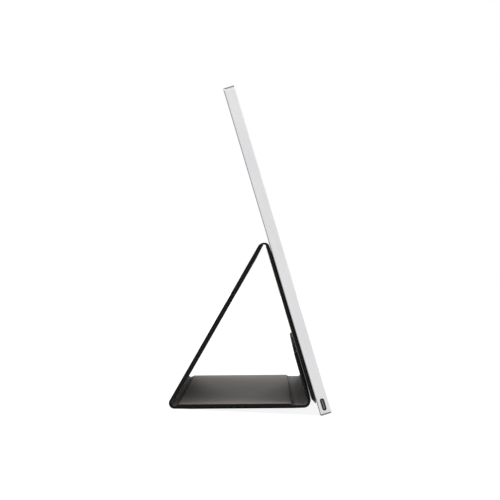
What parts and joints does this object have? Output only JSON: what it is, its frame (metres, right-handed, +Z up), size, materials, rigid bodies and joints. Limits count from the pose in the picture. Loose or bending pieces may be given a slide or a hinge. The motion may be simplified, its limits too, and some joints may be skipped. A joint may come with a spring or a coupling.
{
  "type": "portable monitor with folding cover",
  "caption": "Thin flat-panel portable monitor leaning on a magnetic cover that folds into a triangular stand and unfolds flat along its back.",
  "frame": {"origin": "middle of the footprint, on the surface that the stand and the display's lower back edge rest on", "axes": "+X across the screen to the user's right, -Y forward from the screen towards the user, +Z up"},
  "size_m": [0.3611, 0.1162, 0.2323],
  "materials": {
    "case_aluminium": "bead-blasted, silver anodised",
    "bezel_plastic": "moulded, fine matt",
    "screen_glass": "matt anti-glare",
    "diffuser_plastic": "matt film",
    "light_guide_acrylic": "clear",
    "led_strip": "matt",
    "tray_aluminium": "rolled",
    "circuit_board": "solder mask",
    "flex_cable": "polyimide",
    "chip_plastic": "moulded",
    "screw_steel": "plated",
    "port_steel": "stamped",
    "port_plastic": "moulded",
    "magnet_nickel": "nickel plated",
    "cover_leatherette": "fine grained polyurethane leatherette",
    "cover_lining": "suede-like matt lining",
    "stiffener_board": "pressed greyboard"
  },
  "bodies": {
    "display": {"rear_cover": "case_aluminium", "front_bezel": "bezel_plastic", "lcd_panel": "screen_glass", "diffuser_film": "diffuser_plastic", "light_guide": "light_guide_acrylic", "led_strip": "led_strip", "panel_tray": "tray_aluminium", "driver_board": "circuit_board", "panel_cable": "flex_cable", "controller_board": "circuit_board", "controller_chips": "chip_plastic", "board_screws": "screw_steel", "usb_c_shell": "port_steel", "usb_c_tongue": "port_plastic", "button_board": "circuit_board", "button_switches": "chip_plastic", "button_cable": "flex_cable", "case_magnets": "magnet_nickel"},
    "power_button": {"power_button": "case_aluminium"},
    "menu_rocker": {"menu_rocker": "case_aluminium"},
    "back_panel": {"back_skin": "cover_leatherette", "back_board": "stiffener_board", "back_lining": "cover_lining", "back_magnets": "magnet_nickel", "keeper_plates": "port_steel", "top_fold": "cover_leatherette"},
    "strut": {"strut_skin": "cover_leatherette", "strut_board": "stiffener_board", "strut_lining": "cover_lining", "rear_fold": "cover_leatherette"},
    "base": {"base_skin": "cover_leatherette", "base_board": "stiffener_board", "base_lining": "cover_lining", "front_fold": "cover_leatherette"},
    "flap": {"flap_skin": "cover_leatherette", "flap_board": "stiffener_board", "flap_lining": "cover_lining", "flap_magnets": "magnet_nickel"}
  },
  "joints": [
    {"name": "cover_pull_off", "type": "slide", "parent": "display", "child": "back_panel", "axis": [0, 0.9432, -0.3322], "range_m": [0, 0.05]},
    {"name": "top_fold_hinge", "type": "hinge", "parent": "back_panel", "child": "strut", "pos_m": [0, -0.00445, 0.12237], "axis": [1, 0, 0], "range_deg": [0, 133.5], "deforming": ["top_fold"]},
    {"name": "rear_fold_hinge", "type": "hinge", "parent": "strut", "child": "base", "pos_m": [0, 0.05813, 0.00136], "axis": [1, 0, 0], "range_deg": [0, 120.3], "deforming": ["rear_fold"]},
    {"name": "front_fold_hinge", "type": "hinge", "parent": "base", "child": "flap", "pos_m": [0, -0.04234, 0.00687], "axis": [1, 0, 0], "range_deg": [0, 105.3], "deforming": ["front_fold"]},
    {"name": "power_press", "type": "slide", "parent": "display", "child": "power_button", "axis": [-1, 0, 0], "range_m": [0, 0.0003], "stiffness_N_per_m": 4000, "springref_m": -0.0001},
    {"name": "menu_rock", "type": "hinge", "parent": "display", "child": "menu_rocker", "pos_m": [0.1795, -0.03701, 0.05016], "axis": [0, -0.9432, 0.3322], "range_deg": [-2, 2], "stiffness_Nm_per_rad": 0.4}
  ],
  "couplings": [
    {"joint": "rear_fold_hinge", "follows": "top_fold_hinge", "ratio": 0.9008},
    {"joint": "front_fold_hinge", "follows": "top_fold_hinge", "ratio": 0.7885}
  ]
}
